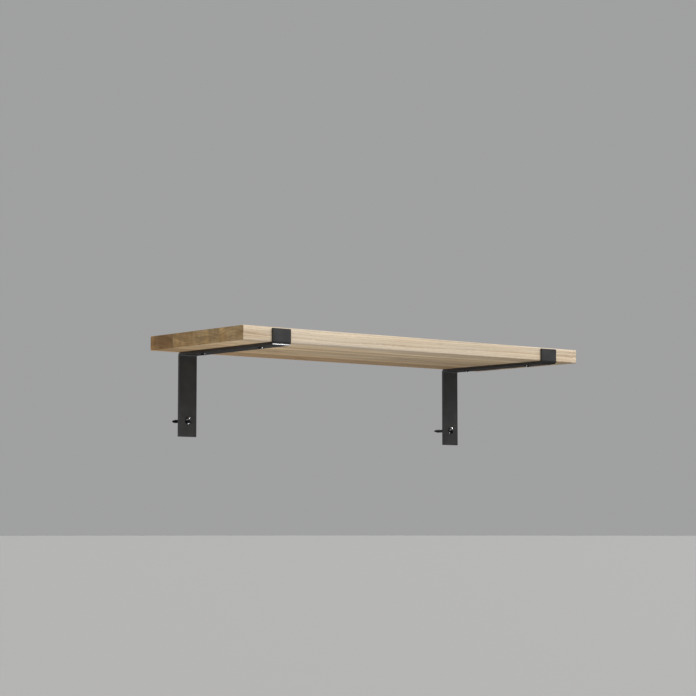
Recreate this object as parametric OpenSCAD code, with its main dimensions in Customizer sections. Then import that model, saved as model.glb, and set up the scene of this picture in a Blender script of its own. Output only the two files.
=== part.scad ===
// Wall shelf: an edge-glued oak board carried by two bent flat-steel lip brackets.
// Frame: X runs along the board, the wall is the plane Y = 0 and the front edge faces -Y, Z is up.
// Origin: midway between the two wall screws, on the wall plane. All sizes in millimetres.
// Everything is one rigid assembly; there are no moving pieces.

/* [Board] */
// length of the board along the wall
board_w = 630; // [400:5:900]
// depth of the board from the wall to the front edge
board_d = 220; // [150:5:300]
// thickness of the board
board_t = 20; // [16:1:30]
// rounding of the two long top edges
board_top_round = 1; // [0.5:0.25:1.5]

/* [Brackets] */
// width of the flat steel bar
bar_w = 30; // [20:1:40]
// thickness of the flat steel bar
bar_t = 4; // [3:0.5:6]
// inside radius of the bends
bend_r = 1; // [0.5:0.25:1.5]
// height of the leg from its lower end up to the underside of the board
leg_h = 120; // [80:5:160]
// length of board past the outer side of each bracket
overhang = 47; // [20:1:80]
// distance from the top of the lip up to the top face of the board
lip_below_top = 1.6; // [0.5:0.1:6]

/* [Wall screws] */
// height of the screw above the lower end of the leg
wall_screw_up = 23; // [14:1:40]
// thread diameter of the wall screws
wall_screw_d = 5; // [4:0.5:6]
// diameter of the pan head
wall_head_d = 10; // [8:0.5:12]
// height of the pan head
wall_head_h = 2.6; // [2:0.1:3.5]
// length of the wall screws below the head
wall_screw_len = 40; // [30:5:80]

/* [Board screws] */
// distance from the wall to the rear pair of screws
rear_screw_in = 41; // [25:1:55]
// distance from the front edge of the board to the front pair of screws
front_screw_in = 44; // [25:1:55]
// thread diameter of the board screws
board_screw_d = 4; // [3:0.5:4.5]
// diameter of the pan head
board_head_d = 8; // [7:0.5:9]
// height of the pan head
board_head_h = 2.2; // [1.6:0.1:3]
// length of the board screws below the head
board_screw_len = 18; // [14:1:19]

/* [Clearances] */
// radial room left around every thread and shank
clearance = 0.35; // [0.3:0.05:0.6]

/* [Hidden] */
$fn = 96;
cut = 1;
// the board is four staves glued edge to edge
stave_count = 4;
leg_bottom_z = -wall_screw_up;
board_bottom_z = leg_bottom_z + leg_h;
board_top_z = board_bottom_z + board_t;
front_y = -board_d;
bend_outer_r = bend_r + bar_t;
board_bottom_round = bend_r + 0.8;
lip_top_z = board_top_z - lip_below_top;
lip_front_y = front_y - bar_t;
arm_bottom_z = board_bottom_z - bar_t;
bracket_x = board_w / 2 - overhang - bar_w / 2;
stave_d = board_d / stave_count;
rear_screw_y = -rear_screw_in;
front_screw_y = front_y + front_screw_in;
wall_shank_hole_d = wall_screw_d + 2 * clearance;
board_shank_hole_d = board_screw_d + 2 * clearance;
wall_tip_h = 1.2 * wall_screw_d;
board_tip_h = 1.2 * board_screw_d;
tip_flat_d = 0.6;
rim_ratio = 0.3;
recess_w_ratio = 0.13;
recess_len_ratio = 0.5;
recess_deep_ratio = 0.2;
pilot_extra = 0.5;
smooth_ratio = 0.72;

oak = [0.78, 0.66, 0.5];
black_coat = [0.09, 0.09, 0.1];
black_zinc = [0.2, 0.2, 0.22];

// cross-section of one stave, in the plane of Y and Z; only the outermost staves have rounded edges
module stave_section(index) {
  near = -index * stave_d;
  far = -(index + 1) * stave_d;
  is_front = index == stave_count - 1;
  difference() {
    translate([far, board_bottom_z]) square([stave_d, board_t]);
    if (is_front) {
      translate([far, board_top_z]) corner_waste(board_top_round, 1, -1);
      translate([far, board_bottom_z]) corner_waste(board_bottom_round, 1, 1);
    }
    if (index == 0) {
      translate([near, board_top_z]) corner_waste(board_top_round, -1, -1);
    }
  }
}

// material taken off a square corner to round it; the corner is at the origin, the board lies towards
// to_y and to_z
module corner_waste(round_r, to_y, to_z) {
  scale([to_y, to_z]) difference() {
    translate([-cut, -cut]) square([round_r + cut, round_r + cut]);
    translate([round_r, round_r]) circle(r = round_r);
  }
}

// pilot hole for one board screw, drilled upwards from the underside
module pilot(x, y) {
  translate([x, y, board_bottom_z - cut])
    cylinder(d = board_shank_hole_d, h = board_screw_len - bar_t + pilot_extra + cut);
}

module stave(index) {
  color(oak) difference() {
    translate([-board_w / 2, 0, 0]) rotate([90, 0, 90]) linear_extrude(height = board_w)
      stave_section(index);
    for (side = [-1, 1]) {
      pilot(side * bracket_x, rear_screw_y);
      pilot(side * bracket_x, front_screw_y);
    }
  }
}

// the stave against the wall, then one after another to the front edge
module stave_1() { stave(0); }
module stave_2() { stave(1); }
module stave_3() { stave(2); }
module stave_4() { stave(3); }

// side outline of the bent bar: leg down the wall, arm under the board, lip up the front edge
module bracket_side() {
  arm_len = board_d + bar_t - 2 * bend_outer_r;
  lip_h = lip_top_z - arm_bottom_z - bend_outer_r;
  leg_len = leg_h - bend_outer_r;
  translate([-bar_t, leg_bottom_z]) square([bar_t, leg_len]);
  translate([-bend_outer_r - arm_len, arm_bottom_z]) square([arm_len, bar_t]);
  translate([lip_front_y, arm_bottom_z + bend_outer_r]) square([bar_t, lip_h]);
  translate([-bend_outer_r, board_bottom_z - bend_outer_r]) bend_quarter(0);
  translate([lip_front_y + bend_outer_r, arm_bottom_z + bend_outer_r]) bend_quarter(180);
}

// a quarter of a ring, the bar bent through a right angle
module bend_quarter(turn) {
  rotate(turn) intersection() {
    difference() {
      circle(r = bend_outer_r);
      circle(r = bend_r);
    }
    square(bend_outer_r);
  }
}

module bracket(x) {
  color(black_coat) difference() {
    translate([x - bar_w / 2, 0, 0]) rotate([90, 0, 90]) linear_extrude(height = bar_w)
      bracket_side();
    translate([x, -bar_t, 0]) rotate([-90, 0, 0]) screw_hole(wall_shank_hole_d);
    for (y = [rear_screw_y, front_screw_y]) {
      translate([x, y, arm_bottom_z]) screw_hole(board_shank_hole_d);
    }
  }
}

// hole through the bar, starting on the face that the head sits on
module screw_hole(hole_d) {
  translate([0, 0, -cut]) cylinder(d = hole_d, h = bar_t + 2 * cut);
}

module bracket_left() { bracket(-bracket_x); }
module bracket_right() { bracket(bracket_x); }

// pan-head wood screw along +Z with the flat underside of its head at the origin; its shank is smooth
// and thinner through the steel, and threaded from there on
module wood_screw(head_d, head_h, thread_d, len, tip_h) {
  recess_w = recess_w_ratio * head_d;
  recess_len = recess_len_ratio * head_d;
  recess_h = recess_deep_ratio * head_d;
  difference() {
    union() {
      pan_head(head_d, head_h);
      cylinder(d = smooth_ratio * thread_d, h = bar_t);
      translate([0, 0, bar_t]) cylinder(d = thread_d, h = len - tip_h - bar_t);
      translate([0, 0, len - tip_h]) cylinder(d1 = thread_d, d2 = tip_flat_d, h = tip_h);
    }
    for (turn = [0, 90]) {
      rotate(turn) translate([-recess_len / 2, -recess_w / 2, -head_h - cut])
        cube([recess_len, recess_w, recess_h + cut]);
    }
  }
}

// a short upright rim below a shallow dome, standing towards -Z
module pan_head(head_d, head_h) {
  dome_h = (1 - rim_ratio) * head_h;
  dome_r = (pow(head_d / 2, 2) + pow(dome_h, 2)) / (2 * dome_h);
  rotate_extrude() intersection() {
    translate([0, dome_r - head_h]) circle(r = dome_r);
    translate([0, -head_h]) square([head_d / 2, head_h]);
  }
}

module wall_screw(x) {
  color(black_zinc) translate([x, -bar_t, 0]) rotate([-90, 0, 0])
    wood_screw(wall_head_d, wall_head_h, wall_screw_d, wall_screw_len, wall_tip_h);
}

module board_screw(x, y) {
  color(black_zinc) translate([x, y, arm_bottom_z])
    wood_screw(board_head_d, board_head_h, board_screw_d, board_screw_len, board_tip_h);
}

module wall_screw_left() { wall_screw(-bracket_x); }
module wall_screw_right() { wall_screw(bracket_x); }
module board_screw_left_rear() { board_screw(-bracket_x, rear_screw_y); }
module board_screw_left_front() { board_screw(-bracket_x, front_screw_y); }
module board_screw_right_rear() { board_screw(bracket_x, rear_screw_y); }
module board_screw_right_front() { board_screw(bracket_x, front_screw_y); }

stave_1();
stave_2();
stave_3();
stave_4();
bracket_left();
bracket_right();
wall_screw_left();
wall_screw_right();
board_screw_left_rear();
board_screw_left_front();
board_screw_right_rear();
board_screw_right_front();
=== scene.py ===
import math

import bpy
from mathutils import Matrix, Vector


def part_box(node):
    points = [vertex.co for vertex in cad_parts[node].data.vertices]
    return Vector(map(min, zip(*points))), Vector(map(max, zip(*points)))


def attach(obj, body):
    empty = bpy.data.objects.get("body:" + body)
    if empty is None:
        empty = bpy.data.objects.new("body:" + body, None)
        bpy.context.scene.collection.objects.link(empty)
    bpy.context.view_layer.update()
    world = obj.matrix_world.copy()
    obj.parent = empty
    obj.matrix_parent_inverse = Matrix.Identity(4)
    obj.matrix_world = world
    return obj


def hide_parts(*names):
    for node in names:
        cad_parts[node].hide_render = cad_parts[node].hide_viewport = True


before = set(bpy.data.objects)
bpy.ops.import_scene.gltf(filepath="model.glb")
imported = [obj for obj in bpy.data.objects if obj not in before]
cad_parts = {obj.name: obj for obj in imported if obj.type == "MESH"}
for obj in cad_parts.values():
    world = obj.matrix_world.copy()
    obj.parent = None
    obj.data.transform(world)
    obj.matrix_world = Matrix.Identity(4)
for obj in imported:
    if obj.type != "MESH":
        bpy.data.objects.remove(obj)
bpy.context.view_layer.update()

# --- Board ---------------------------------------------------------------------------------------
# The board is light European oak: four staves planed square, glued edge to edge, sanded and finished
# with a matt oil. Its two long top edges and its lower front edge are eased, the sawn ends a little
# less, and each board screw bites in a pilot hole.

TOP_EASE = 0.001
BOTTOM_EASE = 0.0018
END_EASE = 0.0004
PILOT_RADIUS = 0.00135
PILOT_DEPTH = 0.0142
# two places closer than this are the same place
SAME = 1e-6

# millimetres in a metre, for the patterns that are laid out in millimetres
MM = 1000.0
WANDER_MM = 17.0
RIPPLE_MM = 1.9
# one year's growth: open early wood, paler summer wood, and the dense line that ends it
YEAR_COLOURS = (
    (0.0, (0.47, 0.365, 0.255)),
    (0.10, (0.53, 0.425, 0.305)),
    (0.30, (0.635, 0.54, 0.415)),
    (0.62, (0.68, 0.59, 0.47)),
    (0.92, (0.62, 0.525, 0.40)),
    (1.0, (0.53, 0.43, 0.31)),
)
PLAIN_WOOD = (0.64, 0.55, 0.425, 1.0)
PORE_BROWN = (0.24, 0.155, 0.09, 1.0)
RAY_CREAM = (0.76, 0.67, 0.54, 1.0)
END_EDGE_DARK = (0.78, 0.72, 0.66, 1.0)
END_EDGE_LIGHT = (0.99, 0.97, 0.95, 1.0)
SAPWOOD = (1.25, 1.22, 1.12, 1.0)
WIDE_FACE_AND_BOUNCE_WARMTH = (0.98, 0.89, 0.74, 1.0)
SOAKED_DARK = (0.62, 0.47, 0.265, 1.0)
SOAKED_LIGHT = (0.86, 0.70, 0.445, 1.0)
GLUE_BROWN = (0.20, 0.13, 0.075, 1.0)


def nothing_selected():
    if bpy.context.object is not None and bpy.context.object.mode != "OBJECT":
        bpy.ops.object.mode_set(mode="OBJECT")
    bpy.ops.object.select_all(action="DESELECT")


def take_up(piece):
    """Makes the piece the one that the next step works on."""
    nothing_selected()
    piece.select_set(True)
    bpy.context.view_layer.objects.active = piece


def pick_edges(piece, wanted):
    """Leaves the piece in edit mode, with just the edges selected whose two ends answer True."""
    bpy.ops.object.mode_set(mode="EDIT")
    bpy.ops.mesh.select_mode(type="EDGE")
    bpy.ops.mesh.select_all(action="DESELECT")
    bpy.ops.object.mode_set(mode="OBJECT")
    points = [vertex.co for vertex in piece.data.vertices]
    for edge in piece.data.edges:
        a, b = (points[i] for i in edge.vertices)
        edge.select = bool(wanted(a, b))
    bpy.ops.object.mode_set(mode="EDIT")


def ease_edges(piece, width, steps, wanted, within_room=False):
    """Rounds the edges whose two ends answer True, no wider than there is room for if asked."""
    pick_edges(piece, wanted)
    bpy.ops.mesh.bevel(offset=width, segments=steps, affect="EDGES", clamp_overlap=within_room)
    bpy.ops.object.mode_set(mode="OBJECT")


def into_mesh(piece):
    """Puts the piece's place, turn and scale into its mesh, and its object at the origin."""
    take_up(piece)
    bpy.ops.object.transform_apply(location=True, rotation=True, scale=True)


def cut_away(piece, cutter):
    """Takes the cutter's shape out of the piece and throws the cutter away."""
    take_up(piece)
    cut = piece.modifiers.new("cut", "BOOLEAN")
    cut.operation = "DIFFERENCE"
    cut.solver = "EXACT"
    cut.object = cutter
    bpy.ops.object.modifier_apply(modifier=cut.name)
    bpy.data.objects.remove(cutter, do_unlink=True)


def soft_shading(piece, angle):
    """Smooth over its rounded edges, while its flat faces stay flat."""
    take_up(piece)
    bpy.ops.object.shade_smooth_by_angle(angle=math.radians(angle))
    flatten = piece.modifiers.new("flatten", "WEIGHTED_NORMAL")
    flatten.keep_sharp = True
    flatten.weight = 100
    bpy.ops.object.modifier_apply(modifier=flatten.name)


def hand_over(piece, node):
    """Hangs the finished piece on the root body and hides the CAD part that it stands for."""
    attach(piece, "root")
    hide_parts(node)


def middle_of(node):
    low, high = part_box(node)
    return (low + high) / 2


def new_finish(name):
    material = bpy.data.materials.new(name)
    material.use_nodes = True
    tree = material.node_tree
    return material, tree, tree.nodes["Principled BSDF"]


def add_node(tree, kind, settings=None, values=None):
    made = tree.nodes.new(kind)
    for key, value in (settings or {}).items():
        setattr(made, key, value)
    for key, value in (values or {}).items():
        made.inputs[key].default_value = value
    return made


def plug(tree, source, socket):
    """Links a socket, or sets a plain number or colour."""
    if isinstance(source, bpy.types.NodeSocket):
        tree.links.new(source, socket)
    else:
        socket.default_value = source


def sums(tree, operation, *terms):
    made = add_node(tree, "ShaderNodeMath", {"operation": operation})
    for term, socket in zip(terms, made.inputs):
        plug(tree, term, socket)
    return made.outputs[0]


def vector_sums(tree, operation, *terms):
    made = add_node(tree, "ShaderNodeVectorMath", {"operation": operation})
    for term, socket in zip(terms, made.inputs):
        plug(tree, term, socket)
    return made.outputs["Value" if operation == "LENGTH" else "Vector"]


def stretch(tree, vector, factors):
    return vector_sums(tree, "MULTIPLY", vector, factors)


def split(tree, vector):
    made = add_node(tree, "ShaderNodeSeparateXYZ")
    tree.links.new(vector, made.inputs["Vector"])
    return made.outputs


def cloud(tree, vector, detail=2.0, rough=0.5, colour=False):
    made = add_node(tree, "ShaderNodeTexNoise", {"noise_dimensions": "3D"},
                    {"Scale": 1.0, "Detail": detail, "Roughness": rough})
    tree.links.new(vector, made.inputs["Vector"])
    return made.outputs["Color" if colour else "Fac"]


def ring_noise(tree, reach, pace):
    made = add_node(tree, "ShaderNodeTexNoise", {"noise_dimensions": "1D"}, {"Scale": 1.0, "Detail": 1.5})
    plug(tree, sums(tree, "MULTIPLY", reach, pace), made.inputs["W"])
    return made.outputs["Fac"]


def between(tree, value, low, high, to_low=0.0, to_high=1.0):
    """Passes softly from one value to another as the source goes from low to high."""
    made = add_node(tree, "ShaderNodeMapRange", {"interpolation_type": "SMOOTHSTEP"},
                    {"From Min": low, "From Max": high, "To Min": to_low, "To Max": to_high})
    tree.links.new(value, made.inputs["Value"])
    return made.outputs["Result"]


def mix_colour(tree, factor, first, second, way="MIX"):
    made = add_node(tree, "ShaderNodeMix", {"data_type": "RGBA", "blend_type": way, "clamp_factor": True})
    plug(tree, factor, made.inputs["Factor"])
    for source, socket in ((first, made.inputs[6]), (second, made.inputs[7])):
        plug(tree, source, socket)
    return made.outputs[2]


def tint(tree, factor, ground, colour):
    """The ground multiplied by a colour, as far as the factor says."""
    return mix_colour(tree, factor, ground, colour, "MULTIPLY")


def raise_surface(tree, shader, height, strength, distance):
    made = add_node(tree, "ShaderNodeBump", None, {"Strength": strength, "Distance": distance})
    tree.links.new(height, made.inputs["Height"])
    tree.links.new(made.outputs["Normal"], shader.inputs["Normal"])


def in_millimetres(tree, shift=(0.0, 0.0, 0.0)):
    place = add_node(tree, "ShaderNodeTexCoord")
    grown = add_node(tree, "ShaderNodeMapping", None, {"Scale": (MM, MM, MM), "Location": shift})
    tree.links.new(place.outputs["Object"], grown.inputs["Vector"])
    return place, grown.outputs["Vector"]


def grown_rings(tree, spot, ring):
    """Where a point lies in its log: its bent place, its reach from the heart, its time of year."""
    # the log isn't straight: its rings wander slowly along the grain and ripple a little
    bent = spot
    for span, size in (((0.0024, 0.011, 0.011), WANDER_MM), ((0.012, 0.11, 0.11), RIPPLE_MM)):
        shove = cloud(tree, stretch(tree, spot, span), colour=True)
        shove = vector_sums(tree, "SUBTRACT", shove, (0.5, 0.5, 0.5))
        bent = vector_sums(tree, "ADD", bent, stretch(tree, shove, (0.0, size, size)))
    reach = vector_sums(tree, "LENGTH", stretch(tree, bent, (0.0, 1.0, 1.0)))
    uneven = sums(tree, "MULTIPLY", ring_noise(tree, reach, 0.11), 2.4)
    year = sums(tree, "FRACT", sums(tree, "ADD", sums(tree, "DIVIDE", reach, ring), uneven))
    return bent, reach, year


def ring_colour(tree, spot, year):
    ramp = add_node(tree, "ShaderNodeValToRGB")
    tree.links.new(year, ramp.inputs["Fac"])
    stops = ramp.color_ramp.elements
    for i, (at, colour) in enumerate(YEAR_COLOURS):
        # a new ramp comes with two stops
        stop = stops[i] if i < 2 else stops.new(at)
        stop.position = at
        stop.color = (*colour, 1.0)
    # how strongly the rings show changes from place to place
    strength = between(tree, cloud(tree, stretch(tree, spot, (0.006, 0.05, 0.05))), 0.3, 0.7, 0.55, 1.0)
    return mix_colour(tree, strength, PLAIN_WOOD, ramp.outputs["Color"])


def open_pores(tree, bent, year):
    """Short dark dashes along the grain, dots on the end grain, most of them in the early wood."""
    early = between(tree, year, 0.02, 0.34, 1.0, 0.0)
    pores = between(tree, cloud(tree, stretch(tree, bent, (0.11, 2.3, 2.3)), 2.0, 0.6), 0.56, 0.66)
    return sums(tree, "MULTIPLY", pores, sums(tree, "MULTIPLY_ADD", early, 0.75, 0.25))


def ray_flecks(tree, bent, reach):
    """Rays are thin sheets that run out from the heart, pale flecks where the saw grazes them."""
    place = split(tree, bent)
    turn = sums(tree, "ARCTAN2", place["Z"], place["Y"])
    sheet = add_node(tree, "ShaderNodeCombineXYZ")
    for term, factor, axis in ((place["X"], 0.16, "X"), (reach, 0.12, "Y"), (turn, 95.0, "Z")):
        plug(tree, sums(tree, "MULTIPLY", term, factor), sheet.inputs[axis])
    return between(tree, cloud(tree, sheet.outputs["Vector"], 1.0), 0.60, 0.70)


def oak_finish(name, heart, ring, along, tone_and_wall_shade, sapwood, joints):
    """Oak sawn from a log whose heart runs along X past the given Y and Z, in millimetres."""
    material, tree, shader = new_finish(name)
    place, spot = in_millimetres(tree, (along, -heart[0], -heart[1]))
    on_board = split(tree, place.outputs["Object"])
    facing = split(tree, place.outputs["Normal"])
    wide_face = between(tree, sums(tree, "ABSOLUTE", facing["Z"]), 0.55, 0.85)
    sawn_end = between(tree, sums(tree, "ABSOLUTE", facing["X"]), 0.55, 0.85)

    bent, reach, year = grown_rings(tree, spot, ring)
    pores = open_pores(tree, bent, year)
    rays = ray_flecks(tree, bent, reach)
    wood = ring_colour(tree, spot, year)
    wood = mix_colour(tree, sums(tree, "MULTIPLY", pores, 0.62), wood, PORE_BROWN)
    wood = mix_colour(tree, sums(tree, "MULTIPLY", rays, 0.32), wood, RAY_CREAM)

    # fine fibre, longer streaks, fat and lean years, and broad bands make it lighter and darker
    fibre = cloud(tree, stretch(tree, spot, (0.02, 1.1, 1.1)), 3.0, 0.65)
    streak = cloud(tree, stretch(tree, spot, (0.0035, 0.16, 0.16)), 3.0, 0.6)
    band = cloud(tree, stretch(tree, spot, (0.0016, 0.05, 0.05)), 1.0)
    light = sums(tree, "MULTIPLY", between(tree, fibre, 0.25, 0.75, 0.91, 1.08),
                 between(tree, streak, 0.3, 0.7, 0.82, 1.09))
    light = sums(tree, "MULTIPLY", light, between(tree, ring_noise(tree, reach, 0.17), 0.3, 0.7, 0.84, 1.07))
    light = sums(tree, "MULTIPLY", light, between(tree, band, 0.32, 0.68, 0.88, 1.12))
    # the edges and ends show less of it than the wide faces
    calm = sums(tree, "MULTIPLY_ADD", wide_face, 0.45, 0.55)
    light = sums(tree, "MULTIPLY_ADD", sums(tree, "SUBTRACT", light, 1.0), calm, 1.0)
    # broad patches are warmer
    patch = cloud(tree, stretch(tree, spot, (0.004, 0.03, 0.03)), 1.0)
    shade = add_node(tree, "ShaderNodeCombineColor")
    plug(tree, light, shade.inputs["Red"])
    for channel, least, most in (("Green", 0.965, 1.01), ("Blue", 0.90, 1.03)):
        warmth = between(tree, patch, 0.3, 0.7, least, most)
        plug(tree, sums(tree, "MULTIPLY", light, warmth), shade.inputs[channel])
    wood = tint(tree, 1.0, wood, shade.outputs["Color"])
    # the stave's tone; for the rear stave this is painted shade from the wall
    wood = tint(tree, 1.0, wood, (*tone_and_wall_shade, 1.0))

    # towards the ends of the board its long edges are darker and browner, in streaks
    near_end = between(tree, sums(tree, "ABSOLUTE", on_board["X"]), 0.245, 0.300)
    long_edge = sums(tree, "SUBTRACT", sums(tree, "SUBTRACT", 1.0, wide_face), sawn_end)
    end_edge_tone = mix_colour(tree, between(tree, streak, 0.42, 0.60), END_EDGE_DARK, END_EDGE_LIGHT)
    wood = tint(tree, sums(tree, "MULTIPLY", near_end, long_edge), wood, end_edge_tone)

    # a pale stripe of sapwood
    off_stripe = sums(tree, "ABSOLUTE", sums(tree, "SUBTRACT", split(tree, bent)["Y"], sapwood - heart[0]))
    wood = tint(tree, between(tree, off_stripe, 3.0, 8.0, 0.85, 0.0), wood, SAPWOOD)

    # the wide faces are tinted warmer, partly their own flat-sawn colour and partly painted warm light
    # bounced up under the board, and the open ends drink the oil in patches
    wood = tint(tree, wide_face, wood, WIDE_FACE_AND_BOUNCE_WARMTH)
    thirst = between(tree, cloud(tree, stretch(tree, spot, (0.02, 0.045, 0.07))), 0.36, 0.64)
    wood = tint(tree, sawn_end, wood, mix_colour(tree, thirst, SOAKED_DARK, SOAKED_LIGHT))

    # the glue shows as a hairline beside each joint
    for joint in joints:
        away = sums(tree, "ABSOLUTE", sums(tree, "SUBTRACT", on_board["Y"], joint))
        wood = mix_colour(tree, between(tree, away, 0.00008, 0.00022, 0.55, 0.0), wood, GLUE_BROWN)
    tree.links.new(wood, shader.inputs["Base Color"])

    rough = sums(tree, "MULTIPLY_ADD", pores, 0.2, between(tree, fibre, 0.3, 0.7, 0.50, 0.60))
    tree.links.new(rough, shader.inputs["Roughness"])
    shader.inputs["Specular IOR Level"].default_value = 0.35
    height = sums(tree, "SUBTRACT", sums(tree, "MULTIPLY", fibre, 0.5), pores)
    raise_surface(tree, shader, height, 0.35, 0.00012)
    return material


def runs_along(a, b, y, z):
    """An edge that runs along the board at the given Y and Z."""
    return all(abs(end.y - y) < SAME and abs(end.z - z) < SAME for end in (a, b))


def round_sawn_end(a, b, end_x, joints):
    """An edge round either sawn end, unless it lies in a glued joint."""
    at_end = abs(abs(a.x) - end_x) < SAME and abs(a.x - b.x) < SAME
    return at_end and not any(abs(a.y - y) < SAME and abs(b.y - y) < SAME for y in joints)


# from the wall to the front edge, in millimetres: the Y and Z of the heart of each stave's log, the width of
# its rings, how far along the log it was cut, its tone, and the Y of its sapwood stripe. The rear stave's
# darker, warmer tone is painted shade, where the wall would shade the back of the board
STAVES = (
    ("stave_1", (-20.0, 30.0), 3.4, 70.0, (0.70, 0.59, 0.455), -2.0),
    ("stave_2", (-96.0, 190.0), 2.7, 910.0, (0.96, 0.92, 0.86), -64.0),
    ("stave_3", (-125.0, 10.0), 3.1, 1740.0, (0.95, 0.94, 0.90), -139.0),
    ("stave_4", (-188.0, 42.0), 2.9, 2630.0, (1.0, 1.0, 1.0), -172.0),
)
board_screws = sorted(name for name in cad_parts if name.startswith("board_screw"))
board_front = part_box("stave_4")[0].y
board_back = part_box("stave_1")[1].y

for node, heart, ring, along, tone_and_wall_shade, sapwood in STAVES:
    low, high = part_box(node)
    joints = [y for y in (low.y, high.y) if board_front + SAME < y < board_back - SAME]
    nothing_selected()
    bpy.ops.mesh.primitive_cube_add(size=1.0, location=(low + high) / 2, scale=high - low)
    stave = bpy.context.object
    stave.name = "oak_" + node
    into_mesh(stave)

    if low.y not in joints:
        ease_edges(stave, BOTTOM_EASE, 5, lambda a, b: runs_along(a, b, low.y, low.z))
    for outer in (low.y, high.y):
        if outer not in joints:
            ease_edges(stave, TOP_EASE, 4, lambda a, b: runs_along(a, b, outer, high.z))
    ease_edges(stave, END_EASE, 2, lambda a, b: round_sawn_end(a, b, high.x, joints))

    for screw in board_screws:
        at = middle_of(screw)
        if low.y < at.y < high.y:
            nothing_selected()
            bpy.ops.mesh.primitive_cylinder_add(
                vertices=24, radius=PILOT_RADIUS, depth=2 * PILOT_DEPTH, location=(at.x, at.y, low.z))
            drill = bpy.context.object
            into_mesh(drill)
            cut_away(stave, drill)
    soft_shading(stave, angle=40)
    stave.data.materials.append(oak_finish("oak_" + node[-1], heart, ring, along, tone_and_wall_shade, sapwood, joints))
    hand_over(stave, node)

# --- Lip brackets --------------------------------------------------------------------------------
# Each bracket is one length of flat steel bar, bent square under the board and up its front edge,
# with cut ends and three drilled holes. All of it has a fine satin black powder coat.

BAR_T = 0.004
BEND_INNER = 0.001
BEND_OUTER = BEND_INNER + BAR_T
BEND_STEPS = 8
BAR_EASE = 0.00035
RIM_EASE = 0.0002
# how far the edges of a drilled hole may lie from its true radius
RIM_SLACK = 1e-5
WALL_HOLE = 0.00285
BOARD_HOLE = 0.00235

COAT_DARK = (0.0240, 0.0243, 0.0249, 1.0)
COAT_LIGHT = (0.0320, 0.0323, 0.0330, 1.0)
COAT_SPECK = (0.044, 0.044, 0.045, 1.0)
# paler coat for the arrises: rubbed wear and a painted edge highlight
COAT_RUBBED_AND_SHEEN = (0.06, 0.06, 0.062, 1.0)

bar_low, bar_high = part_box("bracket_left")
bar_half = (bar_high.x - bar_low.x) / 2
bar_off_centre = abs(middle_of("bracket_left").x)
under_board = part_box("stave_4")[0].z


def coated_steel():
    material, tree, shader = new_finish("black_powder_coat")
    place, spot = in_millimetres(tree)
    grain = cloud(tree, stretch(tree, spot, (1.9, 1.9, 1.9)), 2.0, 0.6)
    dapple = cloud(tree, stretch(tree, spot, (0.05, 0.05, 0.05)), 3.0, 0.6)
    fine = cloud(tree, stretch(tree, spot, (0.5, 0.5, 0.5)))
    coat = mix_colour(tree, between(tree, dapple, 0.3, 0.7), COAT_DARK, COAT_LIGHT)
    coat = mix_colour(tree, between(tree, grain, 0.60, 0.72, 0.0, 0.5), coat, COAT_SPECK)

    # the coat is paler and smoother along the two long arrises of the bar: a little rubbed wear, and a
    # painted edge highlight
    from_middle = sums(tree, "SUBTRACT", sums(tree, "ABSOLUTE", split(tree, spot)["X"]), bar_off_centre * MM)
    from_middle = sums(tree, "ABSOLUTE", from_middle)
    side = bar_half * MM
    arris = between(tree, from_middle, side - 0.55, side - 0.15)
    arris = sums(tree, "MULTIPLY", arris, between(tree, from_middle, side - 0.04, side - 0.01, 1.0, 0.0))
    rubbed_and_sheen = sums(tree, "MULTIPLY", arris, between(tree, fine, 0.42, 0.62, 0.15, 0.8))
    tree.links.new(mix_colour(tree, rubbed_and_sheen, coat, COAT_RUBBED_AND_SHEEN), shader.inputs["Base Color"])
    rough = sums(tree, "MULTIPLY_ADD", rubbed_and_sheen, -0.1, between(tree, dapple, 0.3, 0.7, 0.31, 0.38))

    # powder reaches the inside of the rear bend thinly and dries rough there
    bend_centre = (0.0, -BEND_OUTER * MM, (under_board - BEND_OUTER) * MM)
    from_bend = stretch(tree, vector_sums(tree, "SUBTRACT", spot, bend_centre), (0.0, 1.0, 1.0))
    from_bend = vector_sums(tree, "LENGTH", from_bend)
    rough = sums(tree, "ADD", rough, between(tree, from_bend, 1.0, 2.2, 0.4, 0.0))
    tree.links.new(rough, shader.inputs["Roughness"])
    shader.inputs["Specular IOR Level"].default_value = 0.4
    raise_surface(tree, shader, sums(tree, "MULTIPLY_ADD", fine, 0.6, grain), 0.22, 0.00008)
    return material


def pull_bar(y, z):
    """Draws the open end of the bar on in a straight line."""
    bpy.ops.mesh.extrude_region_move(TRANSFORM_OT_translate={"value": (0, y, z)})


def bend_bar(centre_y, centre_z, angle):
    """Draws the open end of the bar on round a bend."""
    bpy.ops.mesh.spin(steps=BEND_STEPS, angle=angle, center=(0.0, centre_y, centre_z), axis=(1.0, 0.0, 0.0))


def on_arris(a, b, foot_z, tip_z):
    """An edge along the bar or round one of its cut ends, and no seam across its side."""
    at_cut = any(abs(a.z - z) < SAME and abs(b.z - z) < SAME for z in (foot_z, tip_z))
    along_side = abs(a.x - b.x) < SAME
    seam = abs((a - b).length - BAR_T) < SAME
    return at_cut or (along_side and not seam)


def on_rim(a, b, at, drilling, radius):
    """An edge of the rim that a drill leaves at either face of the bar."""
    for point in (a, b):
        from_axis = (point - at) - (point - at).dot(drilling) * drilling
        if abs(from_axis.length - radius) >= RIM_SLACK:
            return False
    return abs((a - b).dot(drilling)) < SAME


def drilled(piece, radius, at, turn):
    """A hole right through the bar, its rims eased by the coat."""
    nothing_selected()
    bpy.ops.mesh.primitive_cylinder_add(vertices=48, radius=radius, depth=4 * BAR_T, location=at,
                                        rotation=(turn, 0, 0))
    drill = bpy.context.object
    into_mesh(drill)
    cut_away(piece, drill)
    drilling = Vector((0, math.sin(turn), math.cos(turn)))
    ease_edges(piece, RIM_EASE, 2, lambda a, b: on_rim(a, b, at, drilling, radius))


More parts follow.
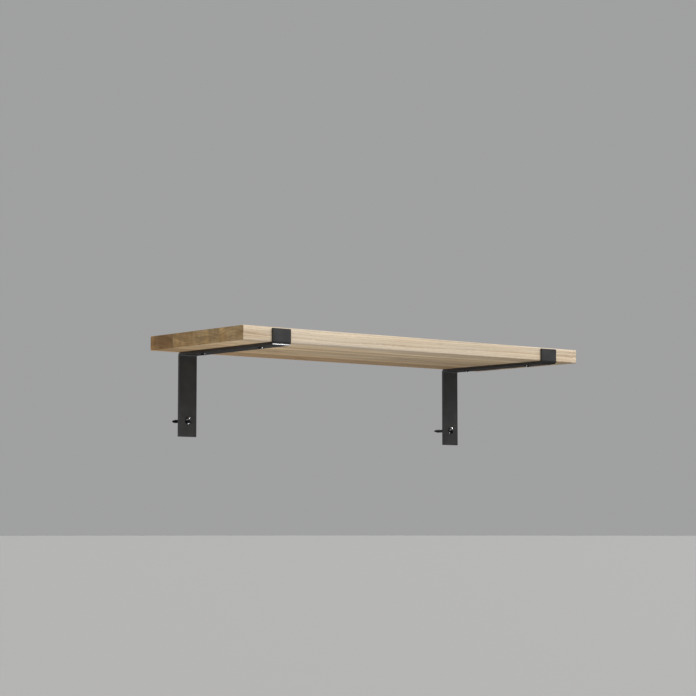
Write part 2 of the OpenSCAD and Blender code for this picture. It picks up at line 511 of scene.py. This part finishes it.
coat = coated_steel()
for hand in ("left", "right"):
    node = "bracket_" + hand
    low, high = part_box(node)
    middle = (low.x + high.x) / 2
    # the cut end of the bar, at the foot of the leg
    nothing_selected()
    bpy.ops.mesh.primitive_plane_add(size=1.0, location=(middle, -BAR_T / 2, low.z))
    bracket = bpy.context.object
    bracket.name = "steel_" + node
    bracket.scale = (high.x - low.x, BAR_T, 1.0)
    into_mesh(bracket)
    bpy.ops.object.mode_set(mode="EDIT")
    bpy.ops.mesh.select_mode(type="FACE")
    bpy.ops.mesh.select_all(action="SELECT")
    # up the wall, out under the board, and up its front edge
    pull_bar(0, under_board - BEND_OUTER - low.z)
    bend_bar(-BEND_OUTER, under_board - BEND_OUTER, -math.pi / 2)
    pull_bar(low.y + 2 * BEND_OUTER, 0)
    bend_bar(low.y + BEND_OUTER, under_board - BAR_T + BEND_OUTER, math.pi / 2)
    pull_bar(0, high.z - (under_board - BAR_T + BEND_OUTER))
    bpy.ops.mesh.select_all(action="SELECT")
    bpy.ops.mesh.remove_doubles(threshold=SAME)
    bpy.ops.mesh.normals_make_consistent(inside=False)
    bpy.ops.object.mode_set(mode="OBJECT")
    # the arrises of rolled bar are slightly rounded, and the coat rounds them further
    ease_edges(bracket, BAR_EASE, 2, lambda a, b: on_arris(a, b, low.z, high.z), within_room=True)

    wall_screw_z = middle_of("wall_screw_" + hand).z
    drilled(bracket, WALL_HOLE, Vector((middle, -BAR_T / 2, wall_screw_z)), math.pi / 2)
    for where in ("rear", "front"):
        board_screw_y = middle_of("board_screw_" + hand + "_" + where).y
        drilled(bracket, BOARD_HOLE, Vector((middle, board_screw_y, under_board - BAR_T / 2)), 0.0)
    soft_shading(bracket, angle=35)
    bracket.data.materials.append(coat)
    hand_over(bracket, node)

# --- Screws --------------------------------------------------------------------------------------
# Pan-head wood screws in black zinc: a long pair through the legs into the wall, and four short ones
# up through the arms into the board. Each is headed, cross-recessed and thread-rolled, and its shank
# is smooth where it passes through the steel.

# the head: the share of its height that is upright rim, and the cross recess as shares of its width
RIM_SHARE = 0.3
RECESS_WIDTH = 0.13
RECESS_LENGTH = 0.5
RECESS_DEPTH = 0.2
RECESS_TAPER = 0.55
# where the turned head has its rings, as shares of the way from its middle to its rim
DOME_RINGS = (0.25, 0.4, 0.55, 0.7, 0.85, 1.0)
# how flat the thread is, and where its foot lies in the core, as a share of the core's radius
RIDGE_FLAT = 0.62
RIDGE_FOOT = 0.88

ZINC_DARK = (0.05, 0.05, 0.053, 1.0)
ZINC_LIGHT = (0.09, 0.09, 0.096, 1.0)
ZINC_BRIGHT = (0.26, 0.26, 0.27, 1.0)
# painted shade for the shank inside the leg and the wall
ZINC_SHADED = (0.035, 0.035, 0.037, 1.0)


def black_zinc():
    """Dark plated steel with brighter grit; from inside the leg back, where the thread begins, painted
    darker as shade and rougher.
    """
    material, tree, shader = new_finish("black_zinc_plating")
    place, spot = in_millimetres(tree)
    grit = cloud(tree, stretch(tree, spot, (3.0, 3.0, 3.0)), 2.0, 0.6)
    smear = cloud(tree, stretch(tree, spot, (0.8, 0.8, 0.8)))
    metal = mix_colour(tree, between(tree, smear, 0.35, 0.65), ZINC_DARK, ZINC_LIGHT)
    metal = mix_colour(tree, between(tree, grit, 0.62, 0.70, 0.0, 0.7), metal, ZINC_BRIGHT)
    shade_past_leg = between(tree, split(tree, place.outputs["Object"])["Y"], -BAR_T, -0.8 * BAR_T)
    tree.links.new(mix_colour(tree, shade_past_leg, metal, ZINC_SHADED), shader.inputs["Base Color"])
    shader.inputs["Metallic"].default_value = 1.0
    rough = sums(tree, "MULTIPLY_ADD", shade_past_leg, 0.35, between(tree, smear, 0.3, 0.7, 0.20, 0.30))
    tree.links.new(rough, shader.inputs["Roughness"])
    raise_surface(tree, shader, grit, 0.15, 0.00004)
    return material


zinc = black_zinc()


def turned_blank(head_r, head_h, shank_r, core_r, length, tip, pitch):
    """A screw before its recess and thread, along +Z, the flat underside of its head at Z = 0."""
    rim_h = RIM_SHARE * head_h
    dome_h = head_h - rim_h
    dome_r = (head_r ** 2 + dome_h ** 2) / (2 * dome_h)
    widest = math.asin(head_r / dome_r)
    # out over the dome, down the rim, in under the head, then the shank, the core and the point
    rings = []
    for share in DOME_RINGS:
        rings.append((dome_r * math.sin(share * widest), dome_r * (1 - math.cos(share * widest)) - head_h))
    rings += [(head_r, 0.0), (shank_r, 0.0), (shank_r, BAR_T), (core_r, BAR_T + 0.3 * pitch)]
    rings += [(core_r, length - tip), (0.45 * core_r, length - 0.3 * tip), (0.08 * core_r, length)]
    nothing_selected()
    bpy.ops.mesh.primitive_circle_add(vertices=48, radius=rings[0][0], fill_type="NGON",
                                      location=(0, 0, rings[0][1]))
    blank = bpy.context.object
    bpy.ops.object.mode_set(mode="EDIT")
    for (was_r, was_z), (now_r, now_z) in zip(rings, rings[1:]):
        bpy.ops.mesh.extrude_region_move(TRANSFORM_OT_translate={"value": (0, 0, now_z - was_z)})
        bpy.ops.transform.resize(value=(now_r / was_r, now_r / was_r, 1.0))
    bpy.ops.mesh.select_all(action="SELECT")
    bpy.ops.mesh.normals_make_consistent(inside=False)
    bpy.ops.object.mode_set(mode="OBJECT")
    into_mesh(blank)
    ease_edges(blank, 0.09 * head_h, 3, lambda a, b: abs(a.z + rim_h) < SAME and abs(b.z + rim_h) < SAME)
    return blank


def punch_cross(screw, head_r, head_h):
    """Punches the cross recess with two crossed blades that narrow towards their ends."""
    deep = RECESS_DEPTH * 2 * head_r
    for turn in (0.0, math.pi / 2):
        nothing_selected()
        bpy.ops.mesh.primitive_cube_add(
            size=1.0, location=(0, 0, -head_h), rotation=(0, 0, turn),
            scale=(RECESS_LENGTH * 2 * head_r, RECESS_WIDTH * 2 * head_r, 2 * deep))
        blade = bpy.context.object
        into_mesh(blade)
        pick_edges(blade, lambda a, b: min(a.z, b.z) > -head_h)
        bpy.ops.transform.resize(value=(RECESS_TAPER, RECESS_TAPER, 1.0))
        bpy.ops.object.mode_set(mode="OBJECT")
        cut_away(screw, blade)


def wound_thread(core_r, thread_r, length, tip, pitch):
    """A three-cornered ridge wound round the core, drawn in at the point and where it runs out."""
    # a three-cornered ring is half as high again as its radius
    ridge_r = (thread_r - RIDGE_FOOT * core_r) / 1.5
    start = BAR_T + ridge_r
    turns = int((length - 0.2 * tip - ridge_r - start) / pitch)
    last = start + turns * pitch
    nothing_selected()
    bpy.ops.mesh.primitive_circle_add(vertices=3, radius=ridge_r, fill_type="NOTHING",
                                      rotation=(math.pi / 2, math.pi / 2, 0),
                                      location=(thread_r - ridge_r, 0, start))
    thread = bpy.context.object
    thread.scale = (1.0, 1.0, RIDGE_FLAT)
    into_mesh(thread)
    wind = thread.modifiers.new("wind", "SCREW")
    wind.axis = "Z"
    wind.angle = 2 * math.pi
    wind.screw_offset = pitch
    wind.iterations = turns
    wind.steps = 24
    wind.render_steps = 24
    bpy.ops.object.modifier_apply(modifier=wind.name)
    bpy.ops.object.mode_set(mode="EDIT")
    bpy.ops.mesh.select_all(action="SELECT")
    bpy.ops.mesh.remove_doubles(threshold=1e-7)
    bpy.ops.mesh.fill_holes(sides=4)
    bpy.ops.mesh.select_all(action="SELECT")
    bpy.ops.mesh.normals_make_consistent(inside=False)
    bpy.ops.object.mode_set(mode="OBJECT")
    for end_z, share, near in ((last, 0.25, tip), (start, 0.75, 1.2 * pitch)):
        pick_edges(thread, lambda a, b: abs((a.z + b.z) / 2 - end_z) < 1.1 * ridge_r
                   and abs(a.y) < SAME and abs(b.y) < SAME)
        bpy.ops.transform.resize(value=(share, share, 1.0), center_override=(0, 0, end_z),
                                 use_proportional_edit=True, proportional_size=near,
                                 proportional_edit_falloff="SMOOTH")
        bpy.ops.object.mode_set(mode="OBJECT")
    return thread


def finished_screw(head_r, head_h, shank_r, core_r, thread_r, length, tip, pitch):
    """A whole screw along +Z, to be copied; its sizes are the head, shank, core, thread and point."""
    screw = turned_blank(head_r, head_h, shank_r, core_r, length, tip, pitch)
    punch_cross(screw, head_r, head_h)
    thread = wound_thread(core_r, thread_r, length, tip, pitch)
    take_up(screw)
    thread.select_set(True)
    bpy.ops.object.join()
    soft_shading(screw, angle=32)
    return screw


def driven_screw(model, node, turn, at):
    """A copy of the model in its place, turned as the driver left it."""
    screw = model.copy()
    screw.data = model.data.copy()
    screw.name = "threaded_" + node
    bpy.context.scene.collection.objects.link(screw)
    screw.rotation_euler = turn
    screw.location = at
    into_mesh(screw)
    screw.data.materials.append(zinc)
    hand_over(screw, node)


wall_model = finished_screw(head_r=0.0050, head_h=0.0026, shank_r=0.0018, core_r=0.00165,
                            thread_r=0.0025, length=0.040, tip=0.006, pitch=0.0022)
board_model = finished_screw(head_r=0.0040, head_h=0.0022, shank_r=0.00144, core_r=0.00130,
                             thread_r=0.0020, length=0.018, tip=0.0048, pitch=0.0018)

# each head stopped at an angle of its own, in degrees
for hand, turn in (("left", 17), ("right", 71)):
    node = "wall_screw_" + hand
    at = middle_of(node)
    driven_screw(wall_model, node, (-math.pi / 2, math.radians(turn), 0), (at.x, -BAR_T, at.z))

for node in board_screws:
    at = middle_of(node)
    turn = math.radians(23 if "rear" in node else 64)
    driven_screw(board_model, node, (0, 0, turn), (at.x, at.y, under_board - BAR_T))

for model in (wall_model, board_model):
    bpy.data.objects.remove(model, do_unlink=True)

# --- Floor and air -------------------------------------------------------------------------------
# A plain pale round floor, well over a metre below the shelf, and pale air all round. Reflections
# don't see the floor and find dark air in its place, as they would beside a dark wall.

FLOOR_Z = -1.3
FLOOR_RADIUS = 120.0
FLOOR_COLOUR = (0.44, 0.44, 0.435, 1.0)
AIR_COLOUR = (0.93, 0.935, 0.94, 1.0)
LOW_AIR_COLOUR = (0.06, 0.06, 0.06, 1.0)
AIR_STRENGTH = 0.38

nothing_selected()
bpy.ops.mesh.primitive_circle_add(vertices=96, radius=FLOOR_RADIUS, fill_type="NGON",
                                  location=(0, 0, FLOOR_Z))
floor = bpy.context.object
floor.name = "floor"
floor_paint, _, floor_shader = new_finish("floor_paint")
floor_shader.inputs["Base Color"].default_value = FLOOR_COLOUR
floor_shader.inputs["Roughness"].default_value = 0.9
floor_shader.inputs["Specular IOR Level"].default_value = 0.1
floor.data.materials.append(floor_paint)
floor.visible_glossy = False

world = bpy.data.worlds.new("pale_air")
bpy.context.scene.world = world
world.use_nodes = True
air = world.node_tree
looking = add_node(air, "ShaderNodeTexCoord")
low_down = between(air, split(air, looking.outputs["Generated"])["Z"], -0.10, -0.03, 1.0, 0.0)
air_glow = air.nodes["Background"]
air.links.new(mix_colour(air, low_down, AIR_COLOUR, LOW_AIR_COLOUR), air_glow.inputs["Color"])
air_glow.inputs["Strength"].default_value = AIR_STRENGTH

# --- Lights --------------------------------------------------------------------------------------
# A broad soft light in front, a smaller one high on the right and a faint one behind on the left. Two
# warm panels below light the underside, and two glint lights show only as reflections.


def place_light(name, light, at):
    placed = bpy.data.objects.new(name, light)
    bpy.context.scene.collection.objects.link(placed)
    placed.location = at
    return placed


def far_light(name, towards, spread, power, colour):
    """A distant light in the given direction, as wide in the sky as the spread, in degrees."""
    light = bpy.data.lights.new(name, "SUN")
    light.angle = math.radians(spread)
    light.energy = power
    light.color = colour
    placed = place_light(name, light, towards)
    placed.rotation_euler = Vector(towards).to_track_quat("Z", "Y").to_euler()
    return placed


def panel_below(name, shape, wide, deep, power, colour, at):
    """A small glowing panel that faces straight up, out of the camera's sight."""
    light = bpy.data.lights.new(name, "AREA")
    light.shape = shape
    light.size = wide
    light.size_y = deep
    light.energy = power
    light.color = colour
    placed = place_light(name, light, at)
    placed.rotation_euler = (math.pi, 0, 0)
    placed.visible_camera = False
    return placed


far_light("front_light", (0.12, -0.76, 0.58), 50, 2.62, (1.0, 0.98, 0.955))
far_light("right_light", (0.87, -0.10, 0.49), 12, 0.8, (1.0, 1.0, 1.0))
far_light("rear_light", (-0.5, 0.7, 0.5), 60, 0.3, (0.97, 0.985, 1.0))

panel_below("low_panel", "RECTANGLE", 0.16, 0.16, 0.42, (1.0, 0.90, 0.74), (-0.08, -0.13, -0.5))
left_panel = panel_below("left_panel", "RECTANGLE", 0.12, 0.20, 0.42, (1.0, 0.95, 0.88),
                         (-0.34, -0.13, -0.30))
left_panel.visible_glossy = False

# the board doesn't shade the high glint, so that it reaches the wall screws
high_glint = far_light("glint_light", (0.87, -0.07, 0.49), 9, 3.5, (1.0, 1.0, 1.0))
high_glint.visible_diffuse = False
high_glint.data.use_shadow = False
low_glint = panel_below("low_glint", "DISK", 0.12, 0.12, 6.5, (1.0, 1.0, 1.0), (0.16, -0.125, -0.5))
low_glint.visible_diffuse = False

# --- Camera --------------------------------------------------------------------------------------
# A long lens from the left of the shelf and a little below it, looking slightly up, as a person sees
# a shelf that hangs just above eye level.

AZIMUTH = math.radians(39.44)
TILT = math.radians(4.935)
LENS_MM = 101.157
SENSOR_MM = 36.0

view = bpy.data.cameras.new("camera")
view.sensor_width = SENSOR_MM
view.lens = LENS_MM
camera = bpy.data.objects.new("camera", view)
bpy.context.scene.collection.objects.link(camera)
camera.location = (-1.8437, -2.2963, -0.1364)
ahead = Vector((math.sin(AZIMUTH) * math.cos(TILT), math.cos(AZIMUTH) * math.cos(TILT), math.sin(TILT)))
camera.rotation_euler = ahead.to_track_quat("-Z", "Y").to_euler()
bpy.context.scene.camera = camera
bpy.context.scene.view_settings.view_transform = "Standard"
